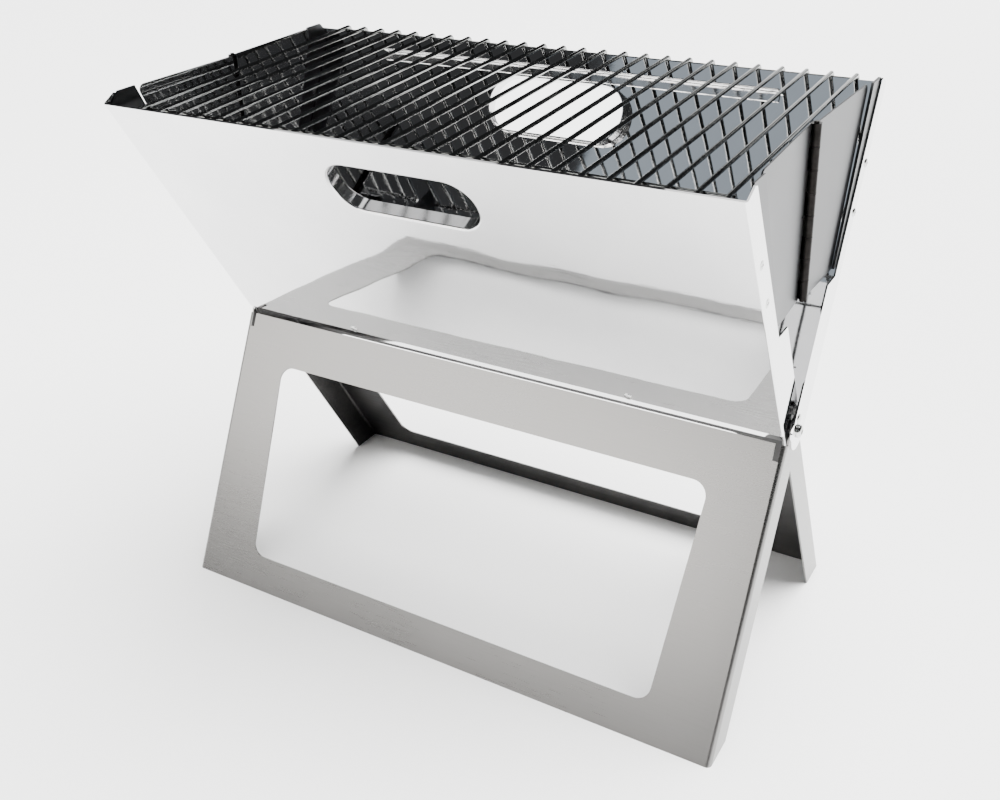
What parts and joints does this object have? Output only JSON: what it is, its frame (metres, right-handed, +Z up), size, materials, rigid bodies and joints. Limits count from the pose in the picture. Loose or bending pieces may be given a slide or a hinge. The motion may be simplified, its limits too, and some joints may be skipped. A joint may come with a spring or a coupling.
{
  "type": "folding camp grill",
  "caption": "Folding X-frame charcoal camp grill of bent sheet steel, with hinged side leaves, leg frames, hand slots and a wire cooking grate.",
  "frame": {"origin": "on the ground under the middle of the open grill", "axes": "+X across the grill along its long side, +Y from the front wall to the rear wall, +Z up"},
  "size_m": [0.4574, 0.2493, 0.3945],
  "materials": {
    "polished_sheet": "mirror polished",
    "brushed_sheet": "brushed",
    "leaf_sheet": "satin",
    "rolled_edge": "polished",
    "hinge_steel": "dark oiled",
    "fastener": "plated",
    "grate_wire": "bright"
  },
  "bodies": {
    "outer_member": {"rear_wall": "polished_sheet", "front_leg_frame": "brushed_sheet", "rear_slot_rim": "rolled_edge", "rear_grate_ledge": "rolled_edge", "rear_coal_ledge": "rolled_edge", "rear_ledge_rivets": "fastener", "right_rear_strip": "leaf_sheet", "left_rear_strip": "leaf_sheet", "rear_strip_screws": "fastener", "pivot_washers": "fastener", "outer_frame_rivets": "fastener"},
    "inner_member": {"front_wall": "polished_sheet", "rear_leg_frame": "brushed_sheet", "front_slot_rim": "rolled_edge", "front_grate_ledge": "rolled_edge", "front_coal_ledge": "rolled_edge", "front_ledge_rivets": "fastener", "right_front_strip": "leaf_sheet", "left_front_strip": "leaf_sheet", "front_strip_screws": "fastener", "inner_frame_rivets": "fastener"},
    "pivot_bolts": {"right_pivot_bolt": "fastener", "left_pivot_bolt": "fastener", "right_pivot_nut": "fastener", "left_pivot_nut": "fastener"},
    "right_hinge": {"right_hinge_pin": "hinge_steel"},
    "left_hinge": {"left_hinge_pin": "hinge_steel"},
    "right_front_leaf": {"right_front_leaf": "leaf_sheet"},
    "right_rear_leaf": {"right_rear_leaf": "leaf_sheet"},
    "left_front_leaf": {"left_front_leaf": "leaf_sheet"},
    "left_rear_leaf": {"left_rear_leaf": "leaf_sheet"},
    "cooking_grate": {"grate_bars": "grate_wire", "grate_cross_wires": "grate_wire"},
    "charcoal_grate": {"coal_bars": "grate_wire", "coal_frame_wires": "grate_wire"}
  },
  "joints": [
    {"name": "fold", "type": "hinge", "parent": "outer_member", "child": "inner_member", "pos_m": [0, -0.00305, 0.193], "axis": [-1, 0, 0], "range_deg": [0, 56.4]},
    {"name": "bolt_turn", "type": "hinge", "parent": "outer_member", "child": "pivot_bolts", "pos_m": [0, -0.00305, 0.193], "axis": [-1, 0, 0], "range_deg": [0, 28.3]},
    {"name": "right_gusset_tip", "type": "hinge", "parent": "pivot_bolts", "child": "right_hinge", "pos_m": [0.2215, -0.00305, 0.193], "axis": [0, -1, 0], "range_deg": [0, 45.66]},
    {"name": "right_front_leaf_turn", "type": "hinge", "parent": "right_hinge", "child": "right_front_leaf", "pos_m": [0.2215, -0.00305, 0.193], "axis": [-0.0182, 0, 0.9998], "range_deg": [0, 88.6]},
    {"name": "right_rear_leaf_turn", "type": "hinge", "parent": "right_hinge", "child": "right_rear_leaf", "pos_m": [0.2215, -0.00305, 0.193], "axis": [0.0182, 0, -0.9998], "range_deg": [0, 88.6]},
    {"name": "left_gusset_tip", "type": "hinge", "parent": "pivot_bolts", "child": "left_hinge", "pos_m": [-0.2215, -0.00305, 0.193], "axis": [0, 1, 0], "range_deg": [0, 45.66]},
    {"name": "left_front_leaf_turn", "type": "hinge", "parent": "left_hinge", "child": "left_front_leaf", "pos_m": [-0.2215, -0.00305, 0.193], "axis": [-0.0182, 0, -0.9998], "range_deg": [0, 88.6]},
    {"name": "left_rear_leaf_turn", "type": "hinge", "parent": "left_hinge", "child": "left_rear_leaf", "pos_m": [-0.2215, -0.00305, 0.193], "axis": [0.0182, 0, 0.9998], "range_deg": [0, 88.6]},
    {"name": "cooking_grate_lift", "type": "slide", "parent": "outer_member", "child": "cooking_grate", "axis": [0, 0, 1], "range_m": [0, 0.789]},
    {"name": "charcoal_grate_lift", "type": "slide", "parent": "outer_member", "child": "charcoal_grate", "axis": [0, 0, 1], "range_m": [0, 0.789]}
  ],
  "couplings": [
    {"joint": "bolt_turn", "follows": "fold", "ratio": 0.5},
    {"joint": "right_gusset_tip", "follows": "fold", "ratio": 0.806},
    {"joint": "right_front_leaf_turn", "follows": "fold", "ratio": 1.5674},
    {"joint": "right_rear_leaf_turn", "follows": "fold", "ratio": 1.5674},
    {"joint": "left_gusset_tip", "follows": "fold", "ratio": 0.806},
    {"joint": "left_front_leaf_turn", "follows": "fold", "ratio": 1.5674},
    {"joint": "left_rear_leaf_turn", "follows": "fold", "ratio": 1.5674},
    {"joint": "cooking_grate_lift", "follows": "fold", "m_per_rad": 0.8},
    {"joint": "charcoal_grate_lift", "follows": "fold", "m_per_rad": 0.8}
  ]
}
